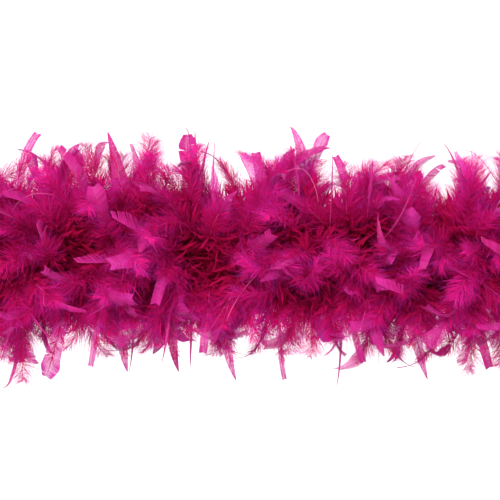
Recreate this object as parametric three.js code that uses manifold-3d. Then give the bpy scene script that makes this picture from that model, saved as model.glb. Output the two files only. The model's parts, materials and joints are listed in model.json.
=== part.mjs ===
// A feather boa: a long garland of feathers bound on a limp two-strand cord.
// Units are millimetres, +Z is up. The boa lies straight along X on the plane z = 0,
// and the origin is under the middle of its length.
//
// The boa bends anywhere, so its length is divided into equal segments. Each segment holds its
// stretch of both cord strands, the thread that locks the quills to them, and one feather cluster.
// Neighbouring segments meet at a hinge on the cord's axis.

import * as THREE from 'three';
import { mergeVertices } from 'three/addons/utils/BufferGeometryUtils.js';
import Module from 'manifold-3d';

const wasm = await Module();
wasm.setup();

// ---------- driving dimensions ----------

const SEGMENT_COUNT = 11;
const SEGMENT_PITCH = 164;
const CORD_HEIGHT = 62;
const FEATHER_REACH = 94;

const STRAND_DIAMETER = 2.6;
const STRAND_OFFSET = 1.5;
const HINGE_CLEARANCE = 1.8;
const ROUND_SIDES = 8;

const THREAD_RADIUS = 0.5;
const THREAD_WRAP_RADIUS = 3.85;
const THREAD_TURNS = 5;
const THREAD_STEPS_PER_TURN = 8;
const THREAD_SIDES = 3;
const THREAD_MARGIN = 14;

const HUB_INNER_RADIUS = 5;
const HUB_OUTER_RADIUS = 7.5;
const HUB_SIDES = 10;
const HUB_MARGIN = 5;

const RINGS_PER_SEGMENT = 5;
const BLADES_PER_RING = 7;
const BLADE_THICKNESS = 4;
const BLADE_ROOT_RADIUS = 6.2;
const BLADE_ROOT_WIDTH = 4.4;
const BLADE_WIDTH = 27;
const BLADE_LOW_SHOULDER = 0.58;
const BLADE_HIGH_SHOULDER = 0.82;
const BLADE_TIP_OFFSET = 6;
const BLADE_TWIST = Math.PI / 5;

const END_GAP = 0.4;
const WHIPPING_LENGTH = 9;
const WHIPPING_INNER_RADIUS = 3.4;
const WHIPPING_OUTER_RADIUS = 4.6;
const KNOT_LENGTH = 8;
const KNOT_RADIUS = 4.4;
const CUT_END_LENGTH = 13;
const CUT_END_SPREAD = 9;

// ---------- colours ----------

const feather = new THREE.MeshStandardMaterial({ color: 0xc81e8c, roughness: 0.8, metalness: 0 });
const cord = new THREE.MeshStandardMaterial({ color: 0x8e1260, roughness: 0.9, metalness: 0 });
const thread = new THREE.MeshStandardMaterial({ color: 0xb0327f, roughness: 0.6, metalness: 0 });

const boa = new THREE.Group();
boa.position.z = CORD_HEIGHT;

// ---------- helpers ----------

function addPiece(group, name, geometry, material) {
  const mesh = new THREE.Mesh(geometry, material);
  mesh.name = name;
  group.add(mesh);
  return mesh;
}

function toSolid(geometry) {
  const bare = geometry.clone();
  bare.deleteAttribute('normal');
  bare.deleteAttribute('uv');
  const merged = mergeVertices(bare, 1e-4);
  return new wasm.Manifold(new wasm.Mesh({
    numProp: 3,
    vertProperties: new Float32Array(merged.attributes.position.array),
    triVerts: new Uint32Array(merged.index.array),
  }));
}

function toGeometry(solid) {
  const mesh = solid.getMesh();
  const geometry = new THREE.BufferGeometry();
  geometry.setAttribute('position', new THREE.BufferAttribute(mesh.vertProperties, 3));
  geometry.setIndex(new THREE.BufferAttribute(mesh.triVerts, 1));
  geometry.computeVertexNormals();
  return geometry;
}

function circle(radius, sides) {
  const shape = new THREE.Shape();
  for (let i = 0; i < sides; i++) {
    const angle = (i + 0.5) / sides * 2 * Math.PI;
    const x = radius * Math.cos(angle);
    const y = radius * Math.sin(angle);
    if (i === 0) shape.moveTo(x, y);
    else shape.lineTo(x, y);
  }
  shape.closePath();
  return shape;
}

function alongCurve(section, curve, steps) {
  return new THREE.ExtrudeGeometry(section, { steps, extrudePath: curve });
}

function straightCord(from, to, radius) {
  return alongCurve(circle(radius, ROUND_SIDES), new THREE.LineCurve3(from, to), 1);
}

// A ring about the X axis. The profile is a list of [x, radius] points that closes on itself.
function ringAboutX(profile, sides) {
  const points = profile.map(([x, radius]) => new THREE.Vector2(radius, x));
  points.push(points[0].clone());
  return new THREE.LatheGeometry(points, sides).rotateZ(-Math.PI / 2);
}

// ---------- the cord and its lock thread ----------

class Helix extends THREE.Curve {
  constructor(radius, length, turns) {
    super();
    this.radius = radius;
    this.length = length;
    this.turns = turns;
  }

  getPoint(t, target = new THREE.Vector3()) {
    const angle = t * this.turns * 2 * Math.PI;
    const x = (t - 0.5) * this.length;
    return target.set(x, this.radius * Math.cos(angle), this.radius * Math.sin(angle));
  }
}

function strandStretch(side) {
  const half = SEGMENT_PITCH / 2 - HINGE_CLEARANCE;
  const y = side * STRAND_OFFSET;
  return straightCord(new THREE.Vector3(-half, y, 0), new THREE.Vector3(half, y, 0), STRAND_DIAMETER / 2);
}

function lockThread() {
  const wrap = new Helix(THREAD_WRAP_RADIUS, SEGMENT_PITCH - 2 * THREAD_MARGIN, THREAD_TURNS);
  return alongCurve(circle(THREAD_RADIUS, THREAD_SIDES), wrap, THREAD_TURNS * THREAD_STEPS_PER_TURN);
}

// ---------- feather clusters ----------

// One flat feather standing out from the hub along +Z, turned a little about its quill, with a
// slanted tip.
function blade() {
  const span = FEATHER_REACH - BLADE_ROOT_RADIUS;
  const outline = new THREE.Shape();
  outline.moveTo(-BLADE_ROOT_WIDTH / 2, BLADE_ROOT_RADIUS);
  outline.lineTo(BLADE_ROOT_WIDTH / 2, BLADE_ROOT_RADIUS);
  outline.lineTo(BLADE_WIDTH / 2, BLADE_ROOT_RADIUS + BLADE_LOW_SHOULDER * span);
  outline.lineTo(BLADE_TIP_OFFSET, FEATHER_REACH);
  outline.lineTo(-BLADE_WIDTH / 2, BLADE_ROOT_RADIUS + BLADE_HIGH_SHOULDER * span);
  outline.closePath();
  const plate = new THREE.ExtrudeGeometry(outline, { depth: BLADE_THICKNESS, bevelEnabled: false });
  plate.translate(0, 0, -BLADE_THICKNESS / 2);
  plate.rotateX(Math.PI / 2);
  return plate.rotateZ(Math.PI / 2 - BLADE_TWIST);
}

// The hub that the quills are bound into, with rings of feathers. The lowest feathers are pressed
// flat where the boa lies on its surface.
function featherCluster() {
  const hubHalf = SEGMENT_PITCH / 2 - HUB_MARGIN;
  let solid = toSolid(ringAboutX([
    [-hubHalf, HUB_INNER_RADIUS],
    [-hubHalf, HUB_OUTER_RADIUS],
    [hubHalf, HUB_OUTER_RADIUS],
    [hubHalf, HUB_INNER_RADIUS],
  ], HUB_SIDES));
  const ringPitch = SEGMENT_PITCH / RINGS_PER_SEGMENT;
  for (let ring = 0; ring < RINGS_PER_SEGMENT; ring++) {
    const x = (ring - (RINGS_PER_SEGMENT - 1) / 2) * ringPitch;
    const offset = ring % 2 === 0 ? 0.5 : 0;
    for (let i = 0; i < BLADES_PER_RING; i++) {
      const angle = (i + offset) / BLADES_PER_RING * 2 * Math.PI;
      solid = solid.add(toSolid(blade().rotateX(angle).translate(x, 0, 0)));
    }
  }
  const room = new THREE.BoxGeometry(SEGMENT_PITCH, 3 * FEATHER_REACH, CORD_HEIGHT + FEATHER_REACH + 1);
  room.translate(0, 0, (FEATHER_REACH + 1 - CORD_HEIGHT) / 2);
  return toGeometry(solid.intersect(toSolid(room)));
}

// ---------- the finished ends ----------

function whipping() {
  return ringAboutX([
    [-WHIPPING_LENGTH / 2, WHIPPING_INNER_RADIUS],
    [-WHIPPING_LENGTH / 2, WHIPPING_OUTER_RADIUS],
    [WHIPPING_LENGTH / 2, WHIPPING_OUTER_RADIUS],
    [WHIPPING_LENGTH / 2, WHIPPING_INNER_RADIUS],
  ], ROUND_SIDES);
}

function knot() {
  const points = [
    new THREE.Vector2(0, 0),
    new THREE.Vector2(KNOT_RADIUS * 0.7, 0),
    new THREE.Vector2(KNOT_RADIUS, KNOT_LENGTH * 0.3),
    new THREE.Vector2(KNOT_RADIUS, KNOT_LENGTH * 0.7),
    new THREE.Vector2(KNOT_RADIUS * 0.7, KNOT_LENGTH),
    new THREE.Vector2(0, KNOT_LENGTH),
  ];
  return new THREE.LatheGeometry(points, HUB_SIDES).rotateZ(-Math.PI / 2);
}

// The knot and the two short cut ends of the strands, pointing along +X from the last hinge-side face.
function addFinishedEnd(group, side) {
  const cordEnd = SEGMENT_PITCH / 2 - HINGE_CLEARANCE;
  addPiece(group, `end_knot_${side}`, knot(), cord).position.x = cordEnd + END_GAP;
  const start = cordEnd + KNOT_LENGTH + 2 * END_GAP;
  for (const [label, direction] of [['a', 1], ['b', -1]]) {
    const from = new THREE.Vector3(start, direction * STRAND_OFFSET, 0);
    const to = new THREE.Vector3(start + CUT_END_LENGTH, direction * CUT_END_SPREAD / 2, -CUT_END_SPREAD / 3);
    addPiece(group, `cut_end_${side}_${label}`, straightCord(from, to, STRAND_DIAMETER / 2), cord);
  }
  const wrap = addPiece(group, `end_whipping_${side}`, whipping(), thread);
  wrap.position.x = cordEnd - WHIPPING_LENGTH / 2 - END_GAP;
}

// ---------- assembly ----------

const clusterGeometry = featherCluster();
const middle = (SEGMENT_COUNT - 1) / 2;

for (let i = 0; i < SEGMENT_COUNT; i++) {
  const label = String(i + 1).padStart(2, '0');
  const segment = new THREE.Group();
  segment.position.x = (i - middle) * SEGMENT_PITCH;
  addPiece(segment, `core_strand_a_${label}`, strandStretch(1), cord);
  addPiece(segment, `core_strand_b_${label}`, strandStretch(-1), cord);
  addPiece(segment, `lock_thread_${label}`, lockThread(), thread);
  addPiece(segment, `feather_cluster_${label}`, clusterGeometry.clone(), feather);
  boa.add(segment);
}

const rightEnd = new THREE.Group();
rightEnd.position.x = middle * SEGMENT_PITCH;
addFinishedEnd(rightEnd, 'right');
boa.add(rightEnd);

const leftEnd = new THREE.Group();
leftEnd.position.x = -middle * SEGMENT_PITCH;
leftEnd.rotation.z = Math.PI;
addFinishedEnd(leftEnd, 'left');
boa.add(leftEnd);

export default boa;
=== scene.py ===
"""A hot pink chandelle feather boa, lying straight and seen from straight above.

Every feather is real geometry: a curved quill, soft down as tapered ribbons, and a flat vane of
barbs at its tip. The feathers are gathered into one stretch per hinge; the stretches at the two
ends ride on the end bodies, and the ones between stay where they are laid. The two-strand cord
inside them is made the same way, with its lock thread, and both ends have a whipping, a knot and
two cut ends. The studio is white, with one soft sun.
"""

import json
import math
from collections import Counter, namedtuple

import bpy
import numpy as np
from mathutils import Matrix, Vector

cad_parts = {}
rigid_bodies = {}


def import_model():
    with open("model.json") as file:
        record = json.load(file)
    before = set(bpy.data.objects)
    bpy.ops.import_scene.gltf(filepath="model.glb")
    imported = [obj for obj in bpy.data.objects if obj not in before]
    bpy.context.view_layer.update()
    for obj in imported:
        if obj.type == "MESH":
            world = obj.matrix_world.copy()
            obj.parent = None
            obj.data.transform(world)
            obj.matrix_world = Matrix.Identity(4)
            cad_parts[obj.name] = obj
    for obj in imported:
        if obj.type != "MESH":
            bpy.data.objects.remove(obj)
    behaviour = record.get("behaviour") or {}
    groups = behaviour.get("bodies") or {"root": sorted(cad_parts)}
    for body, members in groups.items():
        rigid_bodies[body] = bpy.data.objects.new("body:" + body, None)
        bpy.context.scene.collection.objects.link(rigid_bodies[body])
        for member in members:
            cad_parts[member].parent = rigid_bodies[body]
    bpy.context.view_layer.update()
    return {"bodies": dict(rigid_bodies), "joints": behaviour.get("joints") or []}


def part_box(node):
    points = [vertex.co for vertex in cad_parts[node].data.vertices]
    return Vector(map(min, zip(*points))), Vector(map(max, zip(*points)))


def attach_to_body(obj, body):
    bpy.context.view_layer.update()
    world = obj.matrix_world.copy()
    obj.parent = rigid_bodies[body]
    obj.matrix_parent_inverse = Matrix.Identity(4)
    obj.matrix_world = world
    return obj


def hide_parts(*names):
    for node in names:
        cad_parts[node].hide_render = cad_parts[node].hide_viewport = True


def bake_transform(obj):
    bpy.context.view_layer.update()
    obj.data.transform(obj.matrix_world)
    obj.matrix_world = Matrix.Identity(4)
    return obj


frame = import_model()

# ---------- sizes in metres, angles in radians unless a comment says degrees ----------

FEATHER_COUNT = 1330
GOLDEN_ANGLE = math.pi * (3 - math.sqrt(5))
PLACE_SPREAD = 0.003
ANGLE_SPREAD = 0.2
FLAT_SHARE = 0.44
BIOT_SHARE = 0.04
HAIR_SHARE = 0.10
FEATHER_LENGTH = (0.084, 0.116)
LENGTH_OF = {"flat": 1.0, "biot": 1.12, "hair": 1.05, "plume": 0.90}
BUSHY_REACH = (0.076, 0.090)
STANDING_REACH = (0.099, 0.107)
HAIR_REACH = (0.087, 0.097)
STANDING_SHARE = 0.16
REST_LAYER = 0.014
REST_CLEARANCE = 0.0004
FLUFF_RADIUS = 0.091
# Feathers within UNDERSIDE of straight down are turned out, which leaves UNDERSIDE_GAP free.
UNDERSIDE = math.radians(55)
UNDERSIDE_GAP = UNDERSIDE / 4
SWELL = 0.08
SWELL_PITCH = 0.5
SWELL_START = -0.19

ROOT_RADIUS = 0.003
LEAN_ALONG = 0.30
LEAN_AROUND = 0.22
TWIST = 0.5
TINT = (0, 0.75)
LAID_LEAN = 0.35
LAID_SHOWN = 1.15
KINK = (0.7, 1.6)
KINK_PLACE = 0.78
KINK_SPAN = 0.07
KINK_SHARE = 0.25
STEM_STEPS = 20
CURL = {"flat": (0.35, 1.5), "biot": (0.3, 1.2), "hair": (0.7, 1.7), "plume": (0.35, 1.5)}
CURL_GROWTH = 1.7
VANE_START = (0.55, 0.70)
VANE_END = 0.995
VANE_HALF_WIDTH = (0.0045, 0.0095)
VANE_FOOT = 0.35
VANE_TILT_SPREAD = 0.07
VANE_LIFT_SPREAD = 0.10
BIOT_START = 0.35
BIOT_HALF_WIDTH = 0.0015
BARB_SPACING = 0.0009
BARB_STEPS = 3
BARB_GAPS = (0.05, 0.36)
BARB_TAPER = 0.85
BARB_ROOT = 0.45
BARB_LENGTH = (0.65, 1.2)
BARB_CURL = 0.6
TUFT_GROWTH = 1.5
SHINGLE = 0.00012
QUILL_SIDES = 4
QUILL_STEPS = 11
QUILL_TAPER = 0.6
QUILL_RADIUS = 0.00055
PLUME_QUILL_RADIUS = 0.00033
HAIR_RADIUS = 0.00033

# Shares of a quill's length: where its outer down starts, how far that reaches into the vane and
# its wisps beyond it, and where the quill itself ends.
FLAT_DOWN_START = 0.32
PLUME_DOWN_START = 0.44
DOWN_OVERLAP = 0.08
WISP_OVERLAP = 0.04
FLAT_QUILL_END = 0.97
QUILL_END = 0.98

PHOTO_SPAN = 0.400
CAMERA_SHIFT = 0.0045
CAMERA_LENS = 135
SENSOR_WIDTH = 36

# The studio floor is below the lowest place that the bent boa can reach.
FLOOR_SIZE = 12
FLOOR_DROP = 0.8
FLOOR_COLOUR = (0.15, 0.15, 0.15)
FLOOR_GLOW = 0.75
SKY_STRENGTH = 1.05
SUN_STRENGTH = 3.3
SUN_WIDTH = math.radians(16)
SUN_TURN = (math.radians(-22), math.radians(-10), 0)
EXPOSURE = 0.28
GAMMA = 0.9

STRAND_RADIUS = 0.0013
STRAND_LAY = 0.014
ROPE_SIDES = 12
ROPE_STEP = 0.0011
THREAD_RADIUS = 0.00045
THREAD_LAY = 0.0093
THREAD_TWIST = 0.002
WHIPPING_LAYERS = 2
WHIPPING_LAY = 0.00085
WHIPPING_STEP = 0.00005
KNOT_STEPS = 160
FRAY_START = 0.72
FRAY_COUNT = 36
CUT_END_STEPS = 14
FIBRE_STEPS = 6
FIBRE_RADIUS = STRAND_RADIUS / 9
FIBRE_LAY = 0.01
FIBRE_LENGTH = (0.8, 1.0)
FIBRE_FAN = (0.4, 1.0)
KNOT_STRETCH = (1.2, 1.0, 1.0)
PLY_RELIEF = 0.10
LAYOUT_NAME = "OFBake"
CELL_MARGIN = 0.04
ROPE_MARGIN = 0.02

# Materials: noise scales are in features to the metre.
PATCH_SCALE = 60
PATCH_WEIGHT = 0.45
FEATHER_GRAIN = 1400
FUZZ_SCALE = 900
FIBRE_GRAIN = 3000
FIBRE_ROUGHNESS = 0.8
PLAIN_ROUGHNESS = 0.6
FLOOR_ROUGHNESS = 0.9
ROUGHNESS_SPREAD = 0.12
FEATHER_SPECULAR = 0.2
BUMP_STRENGTH = 0.5
RELIEF = 0.0002

# A layer of down. Thin is how much finer its barbs are near the tip, splay their angle to the quill
# and its spread in degrees, and fan how far they leave the vane's plane. Wander bends them, tumble
# turns their faces, and drift and gather pull the tufts on each side, the locks, aside and together.
Barbs = namedtuple(
    "Barbs", "count steps reach width thin splay fan wander tumble locks drift gather light"
)
# Light is how far each barb's own random tint may brighten it. The filling and underdown get less, so
# the inner layers are painted darker: painted shade where they lie deep in the boa's hollows.
FILLING = Barbs(64, 2, 0.030, 0.00430, 0.50, (70, 20), 1.5, 0.45, 0.8, 1, 0.2, 0.0, 0.0)
UNDERDOWN = Barbs(170, 2, 0.020, 0.00055, 0.40, (60, 22), 1.5, 0.50, 0.8, 5, 0.3, 0.30, 0.7)
PLUMES = Barbs(200, 3, 0.026, 0.00021, 0.0, (50, 22), 0.75, 0.36, 0.7, 6, 0.36, 0.40, 1.0)
WISPS = Barbs(125, 3, 0.033, 0.00009, 0.0, (50, 16), 0.85, 0.38, 1.0, 6, 0.3, 0.2, 1.0)

# The shares of the quill's length that carry the two inner layers of down.
FILLING_SPAN = (0.03, 0.48)
UNDERDOWN_SPAN = (0.10, 0.78)

# Sides are the vane's reach on each side of the quill, and tip its reach at the very end.
Vane = namedtuple("Vane", "sides sweep shoulder tip splits fray camber")
VANES = {
    "strap": Vane((1.0, 0.75), 0.50, 0.25, 0.80, 0.03, 0.006, 0.10),
    "half": Vane((1.0, 0.0), 0.55, 0.35, 0.55, 0.05, 0.008, 0.20),
    "wedge": Vane((1.0, 1.0), 0.45, 0.75, 0.50, 0.04, 0.006, 0.15),
    "point": Vane((1.0, 0.9), 0.35, 0.12, 0.04, 0.05, 0.006, 0.10),
    "leaf": Vane((0.9, 1.0), 0.60, 0.45, 0.10, 0.05, 0.008, 0.30),
    "comb": Vane((1.0, 0.0), 0.75, 0.50, 0.45, 0.22, 0.030, 0.30),
    "biot": Vane((1.0, 0.8), 0.20, 0.30, 0.05, 0.00, 0.005, 0.05),
}

# Feathers laid one by one where the boa's outline and surface show one: shape, the tip and a point
# lower down on the quill as x and y, half the vane's width, how far the quill bows sideways, and
# how pale the feather is.
# A pale of 0.8 or more is partly the feather's own paler colour and partly painted light, standing in
# for light shining through a thin feather.
Laid = namedtuple("Laid", "shape tip base half_width bow pale", defaults=[0.35])
LAID_FEATHERS = [
    Laid("strap", (-0.170, 0.098), (-0.184, 0.070), 0.0042, 0.000, 0.95),
    Laid("half", (-0.150, 0.082), (-0.124, 0.058), 0.0090, 0.004),
    Laid("point", (-0.114, 0.099), (-0.100, 0.064), 0.0085, -0.003),
    Laid("plume", (-0.080, 0.095), (-0.082, 0.060), 0.0, 0.000),
    Laid("wedge", (-0.050, 0.097), (-0.047, 0.064), 0.0075, 0.002),
    Laid("biot", (-0.044, 0.101), (-0.042, 0.066), 0.0022, 0.000),
    Laid("biot", (-0.032, 0.093), (-0.040, 0.062), 0.0020, 0.003),
    Laid("biot", (-0.028, 0.092), (-0.029, 0.062), 0.0009, 0.001),
    Laid("leaf", (-0.029, 0.070), (-0.024, 0.040), 0.0045, 0.000, 0.95),
    Laid("half", (-0.008, 0.077), (0.010, 0.056), 0.0100, 0.006, 0.95),
    Laid("strap", (0.004, 0.080), (0.014, 0.050), 0.0050, 0.006),
    Laid("point", (0.032, 0.105), (0.047, 0.078), 0.0075, 0.001, 0.8),
    Laid("wedge", (0.062, 0.097), (0.044, 0.078), 0.0055, 0.001, 0.95),
    Laid("biot", (0.031, 0.088), (0.038, 0.066), 0.0018, -0.003),
    Laid("strap", (0.066, 0.077), (0.073, 0.052), 0.0040, -0.007),
    Laid("biot", (0.064, 0.079), (0.063, 0.056), 0.0008, 0.000),
    Laid("biot", (0.095, 0.075), (0.092, 0.052), 0.0018, 0.001),
    Laid("point", (0.104, 0.062), (0.124, 0.044), 0.0060, 0.004),
    Laid("half", (0.148, 0.071), (0.128, 0.056), 0.0070, 0.010),
    Laid("biot", (0.153, 0.090), (0.168, 0.062), 0.0016, 0.001),
    Laid("half", (0.158, 0.080), (0.172, 0.050), 0.0050, 0.001, 0.95),
    Laid("plume", (0.175, 0.076), (0.168, 0.050), 0.0, 0.000),
    Laid("wedge", (-0.119, 0.053), (-0.108, 0.020), 0.0080, 0.001),
    Laid("comb", (-0.130, -0.005), (-0.096, 0.000), 0.0075, 0.006),
    Laid("comb", (-0.104, 0.029), (-0.070, 0.014), 0.0095, 0.003),
    Laid("strap", (-0.071, -0.036), (-0.063, -0.008), 0.0050, 0.000),
    Laid("comb", (0.020, -0.004), (0.046, -0.030), 0.0022, 0.006),
    Laid("half", (0.132, -0.010), (0.140, 0.024), 0.0085, 0.006),
    Laid("half", (0.200, 0.044), (0.176, 0.030), 0.0070, 0.002, 0.95),
    Laid("strap", (0.076, -0.054), (0.104, -0.060), 0.0052, 0.001),
    Laid("half", (-0.195, -0.043), (-0.165, -0.062), 0.0070, 0.004),
    Laid("biot", (-0.199, -0.116), (-0.180, -0.084), 0.0018, 0.004),
    Laid("biot", (-0.194, -0.082), (-0.184, -0.060), 0.0015, 0.002),
    Laid("plume", (-0.182, -0.100), (-0.176, -0.066), 0.0, 0.000),
    Laid("wedge", (-0.163, -0.097), (-0.146, -0.068), 0.0080, -0.003, 0.95),
    Laid("strap", (-0.125, -0.087), (-0.116, -0.062), 0.0030, -0.002, 0.95),
    Laid("point", (-0.098, -0.093), (-0.101, -0.066), 0.0075, 0.001, 0.95),
    Laid("biot", (-0.069, -0.084), (-0.062, -0.060), 0.0014, 0.001),
    Laid("point", (-0.057, -0.093), (-0.062, -0.064), 0.0070, -0.002),
    Laid("biot", (-0.048, -0.091), (-0.046, -0.064), 0.0015, 0.003),
    Laid("strap", (-0.036, -0.075), (-0.032, -0.050), 0.0042, 0.000),
    Laid("point", (-0.011, -0.100), (-0.020, -0.066), 0.0070, -0.005, 0.95),
    Laid("strap", (0.028, -0.099), (0.024, -0.074), 0.0026, -0.006, 0.95),
    Laid("biot", (0.069, -0.106), (0.071, -0.074), 0.0013, 0.004),
    Laid("biot", (0.056, -0.078), (0.074, -0.076), 0.0014, -0.001),
    Laid("strap", (0.089, -0.083), (0.078, -0.062), 0.0034, 0.001),
    Laid("leaf", (0.104, -0.078), (0.092, -0.056), 0.0050, 0.001),
    Laid("point", (0.142, -0.099), (0.126, -0.068), 0.0070, 0.002, 0.95),
    Laid("wedge", (0.134, -0.068), (0.160, -0.052), 0.0070, 0.002),
    Laid("strap", (0.189, -0.088), (0.176, -0.062), 0.0045, 0.001),
    Laid("plume", (0.176, -0.092), (0.172, -0.060), 0.0, 0.000),
]

# ---------- the frame's places ----------

JOINTS = sorted(frame["joints"], key=lambda joint: joint["pos_m"][0])
BODIES = sorted(frame["bodies"])
AXIS_Z = JOINTS[0]["pos_m"][2]
HINGES_X = [joint["pos_m"][0] for joint in JOINTS]
PITCH = HINGES_X[1] - HINGES_X[0]
STRETCH_COUNT = len(HINGES_X) + 2
CORE_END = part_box(f"core_strand_a_{len(BODIES):02d}")[1][0]
THREAD_WRAP = (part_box("lock_thread_01")[1][2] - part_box("lock_thread_01")[0][2]) / 2 - THREAD_RADIUS
NO_TRIANGLES = np.empty((0, 3), int)
RNG = np.random.default_rng(20)


def stretch_of(x):
    """Which stretch holds x: one for each hinge, and a half one at each end of the boa."""
    return int(np.clip(round((x - HINGES_X[0]) / PITCH) + 1, 0, STRETCH_COUNT - 1))


def stretch_span(number):
    """Where a stretch starts and ends along the boa."""
    middle = HINGES_X[0] + (number - 1) * PITCH
    return max(middle - PITCH / 2, -CORE_END), min(middle + PITCH / 2, CORE_END)


def unit(vectors):
    return vectors / np.linalg.norm(vectors, axis=-1, keepdims=True)


def mix(a, b, share):
    return a + (b - a) * share


# ---------- meshes gathered from many strips ----------


class Strips:
    """Vertices and faces of many open strips, gathered into one mesh."""

    def __init__(self):
        self.points = []
        self.quads = []
        self.triangles = []
        self.tints = []
        self.layout = []
        self.size = 0

    def add(self, points, quads, triangles, tints, layout):
        points = points.reshape(-1, 3)
        self.points.append(points)
        self.quads.append(quads.reshape(-1, 4) + self.size)
        self.triangles.append(triangles.reshape(-1, 3) + self.size)
        self.tints.append(tints.reshape(-1, 3))
        self.layout.append(layout.reshape(-1, 2))
        self.size += len(points)

    def build(self, name, material, plain):
        points = np.concatenate(self.points)
        quads = np.concatenate(self.quads)
        triangles = np.concatenate(self.triangles)
        corners = np.concatenate([quads.ravel(), triangles.ravel()]).astype(np.int32)
        quad_starts = np.arange(len(quads)) * 4
        triangle_starts = len(quads) * 4 + np.arange(len(triangles)) * 3
        starts = np.concatenate([quad_starts, triangle_starts]).astype(np.int32)
        mesh = bpy.data.meshes.new(name)
        mesh.vertices.add(len(points))
        mesh.vertices.foreach_set("co", points.astype(np.float32).ravel())
        mesh.loops.add(len(corners))
        mesh.loops.foreach_set("vertex_index", corners)
        mesh.polygons.add(len(starts))
        mesh.polygons.foreach_set("loop_start", starts)
        layout = mesh.uv_layers.new(name=LAYOUT_NAME)
        flat = np.concatenate(self.layout).astype(np.float32)
        layout.uv.foreach_set("vector", flat[corners].ravel())
        tints = np.concatenate(self.tints).astype(np.float32)
        attribute = mesh.attributes.new("tint", "FLOAT_VECTOR", "POINT")
        attribute.data.foreach_set("vector", tints.ravel())
        mesh.update(calc_edges=True)
        mesh.materials.append(plain)
        piece = bpy.data.objects.new(name, mesh)
        bpy.context.scene.collection.objects.link(piece)
        piece.material_slots[0].link = "OBJECT"
        piece.material_slots[0].material = material
        return piece


def ladder_faces(rows, columns, closed):
    """Four-sided faces between rows of points, round a tube or across an open strip."""
    row, column = np.meshgrid(np.arange(rows - 1), np.arange(columns - (not closed)), indexing="ij")
    after = (column + 1) % columns
    corners = [
        row * columns + column,
        row * columns + after,
        (row + 1) * columns + after,
        (row + 1) * columns + column,
    ]
    return np.stack(corners, axis=-1)


def settle(points, reach):
    """Presses a feather flat where the boa rests, at z = 0, and bends back what stands too far out."""
    soft, hard = reach
    shape = points.shape
    points = points.reshape(-1, 3).copy()
    offset = points[:, 1:] - (0, AXIS_Z)
    distance = np.linalg.norm(offset, axis=1)
    room = hard - soft
    over = np.maximum(distance - soft, 0)
    kept = np.where(distance > soft, soft + room * (1 - np.exp(-over / room)), distance)
    points[:, 1:] = (0, AXIS_Z) + offset * (kept / np.maximum(distance, 1e-9))[:, None]
    low = points[:, 2] < REST_LAYER
    depth = (points[:, 2] - REST_LAYER) / REST_LAYER
    points[low, 2] = REST_LAYER * np.exp(depth[low])
    points[:, 2] += REST_CLEARANCE
    return points.reshape(shape)


# ---------- one feather ----------


class Stem:
    """A feather's curved quill, with the directions across its vane and out of its face."""

    def __init__(self, points, tangent, across, face, reach):
        self.points = points
        self.tangent = tangent
        self.across = across
        self.face = face
        self.reach = reach
        self.length = np.linalg.norm(np.diff(points, axis=0), axis=1).sum()

    def at(self, share):
        place = np.clip(share, 0, 1) * (STEM_STEPS - 1)
        low = np.minimum(place.astype(int), STEM_STEPS - 2)
        part = (place - low)[..., None]
        parts = (self.points, self.tangent, self.across, self.face)
        return [mix(values[low], values[low + 1], part) for values in parts]


def grown_stem(root, heading, bend_to, length, curl, twist, kink, reach):
    """A stem that leaves its root along heading and curls over towards bend_to."""
    share = np.linspace(0, 1, STEM_STEPS)[:, None]
    angle = curl * share**CURL_GROWTH + kink * np.clip((share - KINK_PLACE) / KINK_SPAN, 0, 1)
    side = np.cross(heading, bend_to)
    tangent = np.cos(angle) * heading + np.sin(angle) * bend_to
    out = np.cross(tangent, side)
    turn = twist * share
    across = np.cos(turn) * side + np.sin(turn) * out
    face = np.cos(turn) * out - np.sin(turn) * side
    travel = np.cumsum((tangent[1:] + tangent[:-1]) / 2, axis=0) * length / (STEM_STEPS - 1)
    points = root + np.vstack([np.zeros(3), travel])
    return Stem(points, tangent, across, face, reach)


def laid_stem(laid):
    """A stem from the cord through a laid feather's base to its tip, with its vane facing up."""
    tip, base = (np.array([*place, fluff_height(place[1])]) for place in (laid.tip, laid.base))
    along = unit(tip - base)
    sideways = np.array([-along[1], along[0], 0.0])
    root = np.array([base[0] - LAID_LEAN * (tip[0] - base[0]), 0, AXIS_Z])
    middle = base + laid.bow * sideways
    dense = np.linspace(0, 1, 4 * STEM_STEPS)[:, None]
    curve = (1 - dense) ** 2 * root + 2 * dense * (1 - dense) * middle + dense**2 * tip
    travel = np.append(0, np.cumsum(np.linalg.norm(np.diff(curve, axis=0), axis=1)))
    even = np.linspace(0, travel[-1], STEM_STEPS)
    points = np.stack([np.interp(even, travel, curve[:, axis]) for axis in range(3)], axis=1)
    tangent = unit(np.gradient(points, axis=0))
    across = unit(np.cross((0.0, 0.0, 1.0), tangent))
    face = np.cross(tangent, across)
    shown = LAID_SHOWN * np.linalg.norm(tip - base) / travel[-1]
    return Stem(points, tangent, across, face, STANDING_REACH), 1 - shown, root[0]


def fluff_height(y):
    """The height of the fluff's upper surface at a distance y from the boa's middle line."""
    return AXIS_Z + math.sqrt(max(FLUFF_RADIUS**2 - y**2, 0))


def circles(sides, across, face):
    """Unit circles round the points of a path, and the angles of their corners."""
    angle = np.arange(sides) / sides * 2 * np.pi
    turned = angle[None, :, None]
    return np.cos(turned) * across[:, None] + np.sin(turned) * face[:, None], angle


def tube_layout(angle, share):
    """A tube's surface laid flat: round it one way and along it the other."""
    return np.stack(np.broadcast_arrays(angle[None, :] / (2 * np.pi), share[:, None]), axis=-1)


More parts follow.
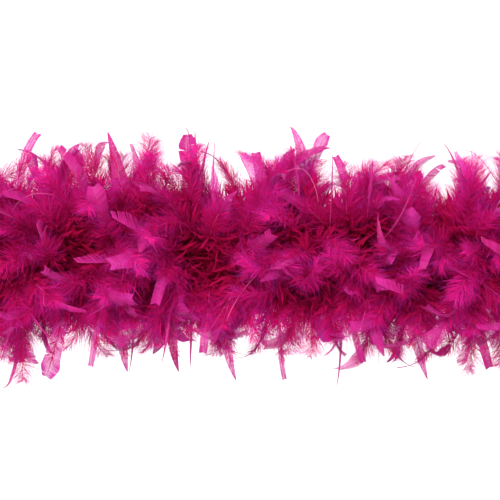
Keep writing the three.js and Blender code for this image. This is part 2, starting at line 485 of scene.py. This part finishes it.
def add_quill(strips, stem, radius, share_end, tint, cell):
    share = np.linspace(0, share_end, QUILL_STEPS)
    points, _, across, face = stem.at(share)
    ring, angle = circles(QUILL_SIDES, across, face)
    thick = radius * (1 - QUILL_TAPER * share / share_end)[:, None, None]
    points = settle(points[:, None] + thick * ring, stem.reach)
    tints = np.empty(points.shape)
    tints[...] = (tint, 0, 0.5)
    tints[..., 1] = share[:, None]
    quads = ladder_faces(len(share), QUILL_SIDES, True)
    strips.add(points, quads, NO_TRIANGLES, tints, cell(tube_layout(angle, share)))


def gather_locks(rows, lock, strength):
    """Draws the tips of the barbs in one lock together, as soft down clings."""
    size = np.maximum(np.bincount(lock), 1)
    middle = np.stack([np.bincount(lock, rows[-1][:, axis]) / size for axis in range(3)], axis=1)
    shift = strength * (middle[lock] - rows[-1])
    for step in range(1, len(rows)):
        rows[step] = rows[step] + shift * (step / (len(rows) - 1)) ** TUFT_GROWTH


def plume_outline(place):
    """How long the barbs are along the down, from 0 to 1: longest two fifths of the way up."""
    return np.sin(np.pi * (0.25 + 0.62 * place)) ** 0.8


def grown_barbs(stem, share, place, side, kind):
    """Each barb's points from root to tip, in rows, and the way across each ribbon."""
    count = len(share)
    points, tangent, across, face = stem.at(share)
    spread = RNG.normal(0, kind.fan, count)[:, None]
    out = side[:, None] * np.cos(spread) * across + np.sin(spread) * face
    splay = np.radians(RNG.normal(*kind.splay, count) * (1.1 - 0.4 * place))
    length = kind.reach * plume_outline(place) * RNG.uniform(*BARB_LENGTH, count)
    lock = (place * kind.locks).astype(int) * 2 + (side > 0)
    pull = RNG.normal(0, kind.drift, (2 * kind.locks + 2, 3))
    wander = RNG.normal(0, kind.wander, (count, 3)) + pull[lock]
    rows = [points]
    first = None
    for step in range(kind.steps):
        part = step / kind.steps
        angle = (splay * (1 - BARB_CURL * part))[:, None]
        direction = unit(np.cos(angle) * tangent + np.sin(angle) * out + wander * part)
        first = direction if first is None else first
        rows.append(rows[-1] + direction * (length / kind.steps)[:, None])
    gather_locks(rows, lock, kind.gather)
    facing = unit(np.cross(out, tangent)) + RNG.normal(0, kind.tumble, (count, 3))
    return rows, unit(np.cross(first, facing))


def add_down(strips, stem, span, kind, tint, cell):
    """Soft barbs: tapered ribbons that leave the quill all round and sweep towards its tip."""
    start, stop = span
    count, steps = kind.count, kind.steps
    share = np.sort(RNG.uniform(start, stop, count))
    side = RNG.choice((-1.0, 1.0), count)
    place = (share - start) / (stop - start)
    rows, flat = grown_barbs(stem, share, place, side, kind)
    slimness = (1 - kind.thin * place)[:, None]
    verts = []
    for step in range(steps):
        at_root = BARB_ROOT if step == 0 else 1
        thick = kind.width * slimness * (1 - BARB_TAPER * step / steps) * at_root
        verts.append(rows[step] - flat * thick)
        verts.append(rows[step] + flat * thick)
    verts.append(rows[steps])
    verts = settle(np.stack(verts, axis=1), stem.reach)
    base = (np.arange(count) * verts.shape[1])[:, None, None]
    ladder = np.array([(2 * k, 2 * k + 1, 2 * k + 3, 2 * k + 2) for k in range(steps - 1)])
    cap = np.array([(2 * steps - 2, 2 * steps - 1, 2 * steps)])
    along = np.append(np.repeat(np.arange(steps), 2) / steps, 1.0)
    edge = np.append(np.tile([0.0, 1.0], steps), 0.5)
    tints = np.empty(verts.shape)
    tints[..., 0] = tint
    # Darker towards the roots, deep in the boa: partly the down's own colour and partly painted shade
    # in its hollows.
    tints[..., 1] = 0.7 * share[:, None] + 0.3 * along[None, :]
    # Capped by the layer's light: the inner layers' barbs stay darker, a painted shade.
    tints[..., 2] = RNG.uniform(0, kind.light, count)[:, None]
    layout = np.empty(verts.shape[:2] + (2,))
    layout[..., 0] = (np.arange(count)[:, None] + 0.1 + 0.8 * edge[None, :]) / count
    layout[..., 1] = along[None, :]
    strips.add(verts, base + ladder, base + cap, tints, cell(layout))


def vane_outline(place, shoulder, tip):
    """How far the vane reaches to one side, from 0 to 1: straight edges with one corner between."""
    rise = VANE_FOOT + (1 - VANE_FOOT) * place / shoulder
    fall = mix(1, tip, (place - shoulder) / (1 - shoulder))
    return np.where(place < shoulder, rise, fall)


def add_vane(strips, stem, start, half_width, vane, tint, cell):
    """Flat barbs lying side by side like shingles, in bundles that have come apart here and there."""
    count = int((1 - start) * stem.length / BARB_SPACING)
    spacing = (VANE_END - start) / count
    middle = start + spacing * (np.arange(count) + 0.5)
    edges = middle[:, None] + spacing * (1 - mix(*BARB_GAPS, tint)) / 2 * np.array([-1, 1])
    place = (edges - start) / (1 - start)
    points, tangent, across, face = stem.at(edges)
    run = np.linspace(0, 1, BARB_STEPS + 1)[None, None, :, None]
    for side, fullness in zip((-1, 1), vane.sides):
        if fullness <= 0:
            continue
        reach = half_width * fullness * vane_outline(place, vane.shoulder, vane.tip)
        bundle = np.cumsum(RNG.random(count) < vane.splits)
        loose = RNG.normal(0, vane.fray, count)
        tilt = vane.sweep + RNG.normal(0, VANE_TILT_SPREAD, count)[bundle] + loose
        lift = RNG.normal(0, VANE_LIFT_SPREAD, count)[bundle] + 2 * loose + vane.camber
        tilt = tilt[:, None, None]
        barb = np.cos(tilt) * side * across + np.sin(tilt) * tangent
        length = (reach / math.cos(vane.sweep))[:, :, None, None]
        hang = lift[:, None, None, None] * run**2
        shingle = RNG.normal(1, 0.5, count)[:, None] * (-SHINGLE, SHINGLE)
        grid = points[:, :, None] + length * (barb[:, :, None] * run - face[:, :, None] * hang)
        grid = grid + face[:, :, None] * shingle[:, :, None, None] * run
        grid = settle(grid, stem.reach)
        first = np.arange(count)[:, None, None] * 2 * (BARB_STEPS + 1)
        quads = first + ladder_faces(2, BARB_STEPS + 1, False).reshape(1, -1, 4)
        tints = np.empty(grid.shape)
        tints[..., 0] = tint
        tints[..., 1] = edges[:, :, None]
        tints[..., 2] = RNG.uniform(0, 1, count)[:, None, None]
        layout = np.empty(grid.shape[:3] + (2,))
        layout[..., 0] = 0.5 + side * 0.48 * run[..., 0]
        layout[..., 1] = place[:, :, None]
        strips.add(grid, quads, NO_TRIANGLES, tints, cell(layout))


# ---------- the whole boa ----------


class Stretch:
    """The feathers round one hinge, gathered by what they are made of."""

    def __init__(self, feathers):
        self.underdown = Strips()
        self.down = Strips()
        self.wisps = Strips()
        self.vanes = Strips()
        self.quills = Strips()
        self.hairs = Strips()
        self.per_side = math.ceil(math.sqrt(feathers))
        self.count = 0

    def next_cell(self):
        """Gives the next feather's faces their own square of the layout."""
        origin = np.array([self.count % self.per_side, self.count // self.per_side], float)
        self.count += 1
        per_side = self.per_side

        def place(layout):
            return (origin + CELL_MARGIN + (1 - 2 * CELL_MARGIN) * layout) / per_side

        return place

    def add_fluff(self, stem, start, stop, tint, cell):
        add_down(self.underdown, stem, FILLING_SPAN, FILLING, tint, cell)
        add_down(self.underdown, stem, UNDERDOWN_SPAN, UNDERDOWN, tint, cell)
        add_down(self.down, stem, (start, stop), PLUMES, tint, cell)
        add_down(self.wisps, stem, (start, min(stop + WISP_OVERLAP, 1.0)), WISPS, tint, cell)

    def add_flat(self, stem, start, half_width, vane, tint, cell):
        add_vane(self.vanes, stem, start, half_width, vane, tint, cell)
        self.add_fluff(stem, FLAT_DOWN_START, start + DOWN_OVERLAP, tint, cell)
        add_quill(self.quills, stem, QUILL_RADIUS, FLAT_QUILL_END, tint, cell)

    def add_biot(self, stem, start, half_width, tint, cell):
        add_vane(self.vanes, stem, start, half_width, VANES["biot"], tint, cell)
        add_quill(self.quills, stem, QUILL_RADIUS, QUILL_END, tint, cell)

    def add_plume(self, stem, tint, cell):
        self.add_fluff(stem, PLUME_DOWN_START, 1.0, tint, cell)
        add_quill(self.quills, stem, PLUME_QUILL_RADIUS, QUILL_END, tint, cell)

    def add_hair(self, stem, tint, cell):
        add_quill(self.hairs, stem, HAIR_RADIUS, 1.0, tint, cell)


def splayed(angle):
    """Turns a feather that would point straight down out to the nearer side."""
    below = (angle + math.pi / 2 + math.pi) % (2 * math.pi) - math.pi
    if abs(below) > UNDERSIDE:
        return angle
    turned = mix(UNDERSIDE_GAP, UNDERSIDE, abs(below) / UNDERSIDE)
    return math.copysign(turned, below) - math.pi / 2


def swell(x, angle):
    """How much fuller the boa is at a place: it swells to one side and to the other in turn."""
    return 1 + SWELL * math.cos(angle) * math.sin(2 * math.pi * (x - SWELL_START) / SWELL_PITCH)


def grow_feather(stretch, x, angle, kind):
    outward = np.array([0, math.cos(angle), math.sin(angle)])
    around = np.array([0, -math.sin(angle), math.cos(angle)])
    forward = np.array([1.0, 0, 0])
    leaning = RNG.normal(0, LEAN_ALONG) * forward + RNG.normal(0, LEAN_AROUND) * around
    heading = unit(outward + leaning)
    turn = RNG.uniform(0, 2 * math.pi)
    bend_to = math.cos(turn) * forward + math.sin(turn) * around
    bend_to = unit(bend_to - heading * (bend_to @ heading))
    fullness = swell(x, angle)
    length = RNG.uniform(*FEATHER_LENGTH) * fullness * LENGTH_OF[kind]
    curl = RNG.uniform(*CURL[kind])
    twist = RNG.normal(0, TWIST)
    root = np.array([x, 0, AXIS_Z]) + outward * ROOT_RADIUS
    tint = RNG.uniform(*TINT)
    cell = stretch.next_cell()
    in_photo = abs(x) < PHOTO_SPAN / 2
    stands_out = RNG.random() < STANDING_SHARE and not in_photo
    reach = STANDING_REACH if stands_out else [limit * fullness for limit in BUSHY_REACH]
    if kind == "flat":
        kink = RNG.uniform(*KINK) if RNG.random() < KINK_SHARE else 0.0
        stem = grown_stem(root, heading, bend_to, length, curl, twist, kink, reach)
        shape = RNG.choice(["strap", "half", "wedge", "point", "leaf", "comb"])
        start = RNG.uniform(*VANE_START)
        stretch.add_flat(stem, start, RNG.uniform(*VANE_HALF_WIDTH), VANES[shape], tint, cell)
    elif kind == "biot":
        stem = grown_stem(root, heading, bend_to, length, curl, twist, 0, STANDING_REACH)
        stretch.add_biot(stem, BIOT_START, BIOT_HALF_WIDTH, tint, cell)
    elif kind == "hair":
        stem = grown_stem(root, heading, bend_to, length, curl, twist, 0, HAIR_REACH)
        stretch.add_hair(stem, tint, cell)
    else:
        stem = grown_stem(root, heading, bend_to, length, curl, twist, 0, reach)
        stretch.add_plume(stem, tint, cell)


def lay_feather(stretch, laid, stem, start):
    # A laid feather's pale value becomes its tint, painted light included.
    tint = laid.pale
    cell = stretch.next_cell()
    if laid.shape == "plume":
        stretch.add_plume(stem, tint, cell)
    elif laid.shape == "biot":
        stretch.add_biot(stem, start, laid.half_width, tint, cell)
    else:
        stretch.add_flat(stem, start, laid.half_width, VANES[laid.shape], tint, cell)


def grow_boa():
    spacing = 2 * CORE_END / FEATHER_COUNT
    places = -CORE_END + spacing * (np.arange(FEATHER_COUNT) + 0.5)
    plume_share = 1 - FLAT_SHARE - BIOT_SHARE - HAIR_SHARE
    shares = [FLAT_SHARE, BIOT_SHARE, HAIR_SHARE, plume_share]
    kinds = RNG.choice(["flat", "biot", "hair", "plume"], FEATHER_COUNT, p=shares)
    stems = [laid_stem(laid) for laid in LAID_FEATHERS]
    owners = Counter(stretch_of(x) for x in places)
    owners.update(stretch_of(x) for _, _, x in stems)
    stretches = [Stretch(owners[number]) for number in range(STRETCH_COUNT)]
    for number, (x, kind) in enumerate(zip(places, kinds)):
        angle = splayed(number * GOLDEN_ANGLE + RNG.normal(0, ANGLE_SPREAD))
        grow_feather(stretches[stretch_of(x)], x + RNG.normal(0, PLACE_SPREAD), angle, kind)
    for laid, (stem, start, x) in zip(LAID_FEATHERS, stems):
        lay_feather(stretches[stretch_of(x)], laid, stem, start)
    return stretches


# ---------- the cord, its lock thread and its ends ----------


def add_rope(strips, path, radius, plies, lay, cell):
    """A tube along a path, with the low ridges of its plies winding round it."""
    tangent = unit(np.gradient(path, axis=0))
    guide = np.where(np.abs(tangent[:, 2:3]) < 0.9, (0.0, 0.0, 1.0), (0.0, 1.0, 0.0))
    across = unit(np.cross(guide, tangent))
    face = np.cross(tangent, across)
    travel = np.append(0, np.cumsum(np.linalg.norm(np.diff(path, axis=0), axis=1)))
    ring, angle = circles(ROPE_SIDES, across, face)
    wound = plies * (angle[None, :] - 2 * np.pi * travel[:, None] / lay)
    thick = (radius * (1 - PLY_RELIEF + PLY_RELIEF * np.cos(wound)))[..., None]
    points = path[:, None] + thick * ring
    share = travel / travel[-1]
    tints = np.empty(points.shape)
    # Painted shade: darkest in the grooves between the plies, palest on their ridges.
    tints[..., 0] = 0.5 + 0.5 * np.cos(wound)
    tints[..., 1] = share[:, None]
    tints[..., 2] = 0.5
    quads = ladder_faces(len(path), ROPE_SIDES, True)
    strips.add(points, quads, NO_TRIANGLES, tints, cell(tube_layout(angle, share)))


def helix(start, end, radius, lay, phase, step):
    """Points that wind round the cord's axis from one x to another."""
    x = np.linspace(start, end, max(int(abs(end - start) / step), 8))
    angle = 2 * np.pi * x / lay + phase
    return np.stack([x, radius * np.cos(angle), AXIS_Z + radius * np.sin(angle)], axis=1)


def whole_square(layout):
    return ROPE_MARGIN + (1 - 2 * ROPE_MARGIN) * layout


def cord_strips(number):
    """Two strands laid round each other along one stretch."""
    strips = Strips()
    for phase in (0, math.pi):
        path = helix(*stretch_span(number), STRAND_RADIUS, STRAND_LAY, phase, ROPE_STEP)
        add_rope(strips, path, STRAND_RADIUS, 3, STRAND_LAY / 3, whole_square)
    return strips


def thread_strips(number):
    """The lock thread, wound over the quill butts along one stretch."""
    strips = Strips()
    path = helix(*stretch_span(number), THREAD_WRAP, -THREAD_LAY, 0.4, ROPE_STEP / 2)
    add_rope(strips, path, THREAD_RADIUS, 2, THREAD_TWIST, whole_square)
    return strips


def whipping_strips(side):
    """Close turns of thread that stop the cord's end from coming undone."""
    low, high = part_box(f"end_whipping_{side}")
    outer = (high[2] - low[2]) / 2
    start, end = low[0] + THREAD_RADIUS, high[0] - THREAD_RADIUS
    strips = Strips()
    for layer in range(WHIPPING_LAYERS):
        radius = outer - (2 * layer + 1) * THREAD_RADIUS
        path = helix(start, end, radius, WHIPPING_LAY, 0, WHIPPING_STEP)
        add_rope(strips, path, THREAD_RADIUS, 2, THREAD_TWIST, whole_square)
    return strips


def knot_strips(side):
    """An overhand knot: one strand-thick rope that passes three times through its own loop."""
    low, high = (np.array(corner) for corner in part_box(f"end_knot_{side}"))
    turn = np.linspace(0, 2 * np.pi, KNOT_STEPS)
    knot = [
        np.sin(3 * turn) / 3 * 2,
        (np.sin(turn) + 2 * np.sin(2 * turn)) / 3,
        (np.cos(turn) - 2 * np.cos(2 * turn)) / 3,
    ]
    room = (high - low) / 2 - STRAND_RADIUS
    path = (low + high) / 2 + np.stack(knot, axis=1) * room * KNOT_STRETCH
    strips = Strips()
    add_rope(strips, path, STRAND_RADIUS, 3, STRAND_LAY / 3, whole_square)
    return strips


def cut_end_strips(side, label):
    """A short cut end of one strand, with its fibres fanning out."""
    low, high = (np.array(corner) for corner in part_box(f"cut_end_{side}_{label}"))
    outward = 1 if side == "right" else -1
    near_x, far_x = (low[0], high[0]) if outward > 0 else (high[0], low[0])
    leaning = 1 if high[1] + low[1] > 0 else -1
    near_y, far_y = (low[1], high[1]) if leaning > 0 else (high[1], low[1])
    start = np.array([near_x, near_y + leaning * STRAND_RADIUS, AXIS_Z])
    end = np.array([far_x, far_y - leaning * STRAND_RADIUS, AXIS_Z])
    strips = Strips()
    path = start + (end - start) * np.linspace(0, FRAY_START, CUT_END_STEPS)[:, None]
    add_rope(strips, path, STRAND_RADIUS, 3, STRAND_LAY / 3, whole_square)
    along = unit(end - start)
    for _ in range(FRAY_COUNT):
        offset = RNG.normal(0, 1, 3)
        offset = unit(offset - along * (offset @ along))
        fan = np.linspace(0, 1, FIBRE_STEPS)[:, None]
        loose = offset * (0.5 + fan**2) * STRAND_RADIUS * RNG.uniform(*FIBRE_FAN)
        fibre = path[-2] + (end - path[-2]) * fan * RNG.uniform(*FIBRE_LENGTH) + loose
        add_rope(strips, fibre, FIBRE_RADIUS, 1, FIBRE_LAY, whole_square)
    return strips


# ---------- materials ----------


def new_material(name):
    material = bpy.data.materials.new(name)
    material.use_nodes = True
    material.node_tree.nodes.clear()
    return material, material.node_tree.nodes, material.node_tree.links


def plain_material(name, colour):
    material, nodes, links = new_material(name)
    shader = nodes.new("ShaderNodeBsdfPrincipled")
    shader.inputs["Base Color"].default_value = (*colour, 1)
    shader.inputs["Roughness"].default_value = PLAIN_ROUGHNESS
    output = nodes.new("ShaderNodeOutputMaterial")
    links.new(shader.outputs[0], output.inputs[0])
    return material


def colour_ramp(nodes, stops):
    node = nodes.new("ShaderNodeValToRGB")
    ramp = node.color_ramp
    while len(ramp.elements) < len(stops):
        ramp.elements.new(0.5)
    for element, (place, colour) in zip(ramp.elements, stops):
        element.position = place
        element.color = (*colour, 1)
    return node


def noise(nodes, links, scale, detail):
    """Noise fixed to the object, with features of about 1 / scale metres."""
    place = nodes.new("ShaderNodeTexCoord")
    node = nodes.new("ShaderNodeTexNoise")
    node.inputs["Scale"].default_value = scale
    node.inputs["Detail"].default_value = detail
    links.new(place.outputs["Object"], node.inputs["Vector"])
    return node


def weighted_sum(nodes, links, terms):
    """Adds (output, weight) pairs up with math nodes."""
    total = None
    for output, weight in terms:
        node = nodes.new("ShaderNodeMath")
        node.operation = "MULTIPLY_ADD" if total else "MULTIPLY"
        node.inputs[1].default_value = weight
        links.new(output, node.inputs[0])
        if total:
            links.new(total, node.inputs[2])
        total = node.outputs[0]
    return total


def add_surface(nodes, links, shader, roughness, grain, relief):
    """Uneven roughness and a fine bump on a Principled shader."""
    fine = noise(nodes, links, grain, 2)
    spread = nodes.new("ShaderNodeMapRange")
    spread.inputs["To Min"].default_value = roughness - ROUGHNESS_SPREAD
    spread.inputs["To Max"].default_value = roughness + ROUGHNESS_SPREAD
    links.new(fine.outputs[0], spread.inputs[0])
    links.new(spread.outputs[0], shader.inputs["Roughness"])
    bump = nodes.new("ShaderNodeBump")
    bump.inputs["Strength"].default_value = BUMP_STRENGTH
    bump.inputs["Distance"].default_value = relief
    links.new(fine.outputs[0], bump.inputs["Height"])
    links.new(bump.outputs[0], shader.inputs["Normal"])


# Weights say how far the feather's tint, the place along it and the single barb move the colour
# along the stops. In the down, the place along it darkens the inner parts towards the roots: partly
# the down's own colour and partly painted shade in the boa's hollows. Glow is the colour of the
# light that comes through.
DyeAndPaintedShade = namedtuple("DyeAndPaintedShade", "stops weights roughness see_through glow")


def feather_material(name, dye_and_shade):
    """Dyed feather: colour by the feather, the place along it and the barb, with painted shade towards
    the roots of the down, and light through it.
    """
    material, nodes, links = new_material(name)
    tint = nodes.new("ShaderNodeAttribute")
    tint.attribute_name = "tint"
    parts = nodes.new("ShaderNodeSeparateXYZ")
    links.new(tint.outputs["Vector"], parts.inputs[0])
    patches = noise(nodes, links, PATCH_SCALE, 3)
    terms = [*zip(parts.outputs, dye_and_shade.weights), (patches.outputs[0], PATCH_WEIGHT)]
    ramp = colour_ramp(nodes, dye_and_shade.stops)
    links.new(weighted_sum(nodes, links, terms), ramp.inputs[0])
    shader = nodes.new("ShaderNodeBsdfPrincipled")
    shader.inputs["Specular IOR Level"].default_value = FEATHER_SPECULAR
    links.new(ramp.outputs[0], shader.inputs["Base Color"])
    add_surface(nodes, links, shader, dye_and_shade.roughness, FEATHER_GRAIN, RELIEF)
    through = nodes.new("ShaderNodeBsdfTranslucent")
    through.inputs["Color"].default_value = (*dye_and_shade.glow, 1)
    blend = nodes.new("ShaderNodeMixShader")
    blend.inputs[0].default_value = dye_and_shade.see_through
    links.new(shader.outputs[0], blend.inputs[1])
    links.new(through.outputs[0], blend.inputs[2])
    output = nodes.new("ShaderNodeOutputMaterial")
    links.new(blend.outputs[0], output.inputs[0])
    return material


def fibre_material(name, valley_shade, ridge):
    """Twisted cotton: darker between the plies as painted shade, pale on their ridges, with a fibre
    bump.
    """
    material, nodes, links = new_material(name)
    tint = nodes.new("ShaderNodeAttribute")
    tint.attribute_name = "tint"
    parts = nodes.new("ShaderNodeSeparateXYZ")
    links.new(tint.outputs["Vector"], parts.inputs[0])
    fuzz = noise(nodes, links, FUZZ_SCALE, 4)
    ramp = colour_ramp(nodes, [(0.1, valley_shade), (0.9, ridge)])
    terms = [(parts.outputs[0], 0.7), (fuzz.outputs[0], 0.5)]
    links.new(weighted_sum(nodes, links, terms), ramp.inputs[0])
    shader = nodes.new("ShaderNodeBsdfPrincipled")
    links.new(ramp.outputs[0], shader.inputs["Base Color"])
    add_surface(nodes, links, shader, FIBRE_ROUGHNESS, FIBRE_GRAIN, RELIEF)
    output = nodes.new("ShaderNodeOutputMaterial")
    links.new(shader.outputs[0], output.inputs[0])
    return material


DYES_AND_PAINTED_SHADE = {
    # The underdown's darker stops are partly painted shade on the inner layers, deep in the boa.
    "underdown": DyeAndPaintedShade(
        [(0.25, (0.37, 0.0005, 0.048)), (0.7, (0.56, 0.0014, 0.145)), (1.0, (0.70, 0.008, 0.27))],
        (0.15, 0.32, 0.22),
        0.8,
        0.45,
        (0.72, 0.004, 0.25),
    ),
    "down": DyeAndPaintedShade(
        [(0.25, (0.35, 0.0004, 0.036)), (0.7, (0.57, 0.0012, 0.145)), (1.0, (0.84, 0.016, 0.34))],
        (0.15, 0.40, 0.45),
        0.7,
        0.3,
        (0.60, 0.006, 0.30),
    ),
    "wisps": DyeAndPaintedShade(
        [(0.2, (0.35, 0.002, 0.12)), (0.7, (0.55, 0.008, 0.30)), (1.0, (0.64, 0.06, 0.56))],
        (0.15, 0.45, 0.40),
        0.6,
        0.45,
        (0.42, 0.055, 0.52),
    ),
    "vanes": DyeAndPaintedShade(
        [(0.40, (0.30, 0.003, 0.09)), (0.70, (0.45, 0.008, 0.19)), (1.0, (0.58, 0.045, 0.34))],
        (0.45, 0.15, 0.25),
        0.45,
        0.3,
        (0.53, 0.13, 0.50),
    ),
    "quills": DyeAndPaintedShade(
        [(0.0, (0.50, 0.02, 0.16)), (0.6, (0.66, 0.06, 0.30)), (1.0, (0.40, 0.008, 0.18))],
        (0.3, 0.6, 0.0),
        0.38,
        0.12,
        (0.8, 0.25, 0.5),
    ),
    # The hairs' pale pink is partly their own paler colour and partly a painted highlight along them.
    "hairs": DyeAndPaintedShade(
        [(0.2, (0.80, 0.20, 0.38)), (0.7, (0.90, 0.34, 0.50)), (1.0, (0.70, 0.10, 0.36))],
        (0.3, 0.6, 0.0),
        0.32,
        0.1,
        (0.9, 0.3, 0.5),
    ),
}
PLAIN_COLOURS = {
    # The underdown's darker plain colour carries the same painted shade.
    "underdown": (0.42, 0.003, 0.10),
    "down": (0.48, 0.004, 0.13),
    "wisps": (0.62, 0.04, 0.28),
    "vanes": (0.60, 0.02, 0.27),
    "quills": (0.60, 0.05, 0.26),
    # The hairs' pale plain colour is partly a painted highlight too.
    "hairs": (0.80, 0.25, 0.38),
    "cord": (0.42, 0.012, 0.10),
    "thread": (0.50, 0.02, 0.16),
}
# Each pair gives the painted shade colour between the plies and the colour on their ridges.
CORD_FIBRE = ((0.16, 0.002, 0.03), (0.52, 0.03, 0.16))
THREAD_FIBRE = ((0.22, 0.004, 0.06), (0.62, 0.06, 0.26))


# ---------- the scene ----------


def attach(piece, number, *nodes):
    """Hides the CAD parts that a stretch's piece stands in for; an end stretch rides on its body, and
    a middle one is left in place with no body.
    """
    if number == 0 or number == STRETCH_COUNT - 1:
        segment = 1 if number == 0 else len(BODIES)
        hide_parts(*[f"{node}_{segment:02d}" for node in nodes])
        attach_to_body(piece, BODIES[segment - 1])
        return
    for segment in (number, number + 1):
        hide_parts(*[f"{node}_{segment:02d}" for node in nodes])
    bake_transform(piece)


def make_camera():
    camera = bpy.data.objects.new("camera", bpy.data.cameras.new("camera"))
    camera.data.lens = CAMERA_LENS
    camera.data.sensor_width = SENSOR_WIDTH
    distance = PHOTO_SPAN * CAMERA_LENS / SENSOR_WIDTH
    camera.location = (0, CAMERA_SHIFT, AXIS_Z + distance)
    bpy.context.scene.collection.objects.link(camera)
    bpy.context.scene.camera = camera


def make_studio():
    scene = bpy.context.scene
    scene.view_settings.view_transform = "Standard"
    scene.view_settings.gamma = GAMMA
    scene.view_settings.exposure = EXPOSURE
    world = bpy.data.worlds.new("studio")
    world.use_nodes = True
    background = world.node_tree.nodes["Background"]
    background.inputs["Color"].default_value = (1, 1, 1, 1)
    background.inputs["Strength"].default_value = SKY_STRENGTH
    scene.world = world
    sun = bpy.data.lights.new("softbox", "SUN")
    sun.energy = SUN_STRENGTH
    sun.angle = SUN_WIDTH
    lamp = bpy.data.objects.new("softbox", sun)
    lamp.rotation_euler = SUN_TURN
    scene.collection.objects.link(lamp)


def make_floor():
    material, nodes, links = new_material("floor")
    shader = nodes.new("ShaderNodeBsdfPrincipled")
    shader.inputs["Base Color"].default_value = (*FLOOR_COLOUR, 1)
    shader.inputs["Roughness"].default_value = FLOOR_ROUGHNESS
    shader.inputs["Emission Color"].default_value = (1, 1, 1, 1)
    shader.inputs["Emission Strength"].default_value = FLOOR_GLOW
    output = nodes.new("ShaderNodeOutputMaterial")
    links.new(shader.outputs[0], output.inputs[0])
    bpy.ops.mesh.primitive_plane_add(size=FLOOR_SIZE, location=(0, 0, -FLOOR_DROP))
    floor = bpy.context.object
    floor.name = "floor"
    floor.data.materials.append(material)


def make_materials():
    materials = {name: feather_material(name, dye_and_shade) for name, dye_and_shade in DYES_AND_PAINTED_SHADE.items()}
    materials["cord"] = fibre_material("cord", *CORD_FIBRE)
    materials["thread"] = fibre_material("thread", *THREAD_FIBRE)
    return materials


def make_feathers(materials, plain):
    for number, stretch in enumerate(grow_boa()):
        for kind in DYES_AND_PAINTED_SHADE:
            strips = getattr(stretch, kind)
            if not strips.size:
                continue
            piece = strips.build(f"{kind}_{number + 1:02d}", materials[kind], plain[kind])
            attach(piece, number, "feather_cluster")


def make_core(materials, plain):
    for number in range(STRETCH_COUNT):
        cord = cord_strips(number).build(f"cord_{number + 1:02d}", materials["cord"], plain["cord"])
        attach(cord, number, "core_strand_a", "core_strand_b")
        thread = thread_strips(number)
        thread = thread.build(f"lock_{number + 1:02d}", materials["thread"], plain["thread"])
        attach(thread, number, "lock_thread")


def make_ends(materials, plain):
    for side, body in (("left", BODIES[0]), ("right", BODIES[-1])):
        ends = [
            ("thread", f"whipping_{side}", f"end_whipping_{side}", whipping_strips(side)),
            ("cord", f"knot_{side}", f"end_knot_{side}", knot_strips(side)),
            ("cord", f"frayed_{side}_a", f"cut_end_{side}_a", cut_end_strips(side, "a")),
            ("cord", f"frayed_{side}_b", f"cut_end_{side}_b", cut_end_strips(side, "b")),
        ]
        for slot, name, node, strips in ends:
            piece = strips.build(name, materials[slot], plain[slot])
            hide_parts(node)
            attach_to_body(piece, body)


def main():
    make_camera()
    make_studio()
    make_floor()
    materials = make_materials()
    plain = {
        name: plain_material(f"{name}_plain", colour) for name, colour in PLAIN_COLOURS.items()
    }
    make_feathers(materials, plain)
    make_core(materials, plain)
    make_ends(materials, plain)


main()
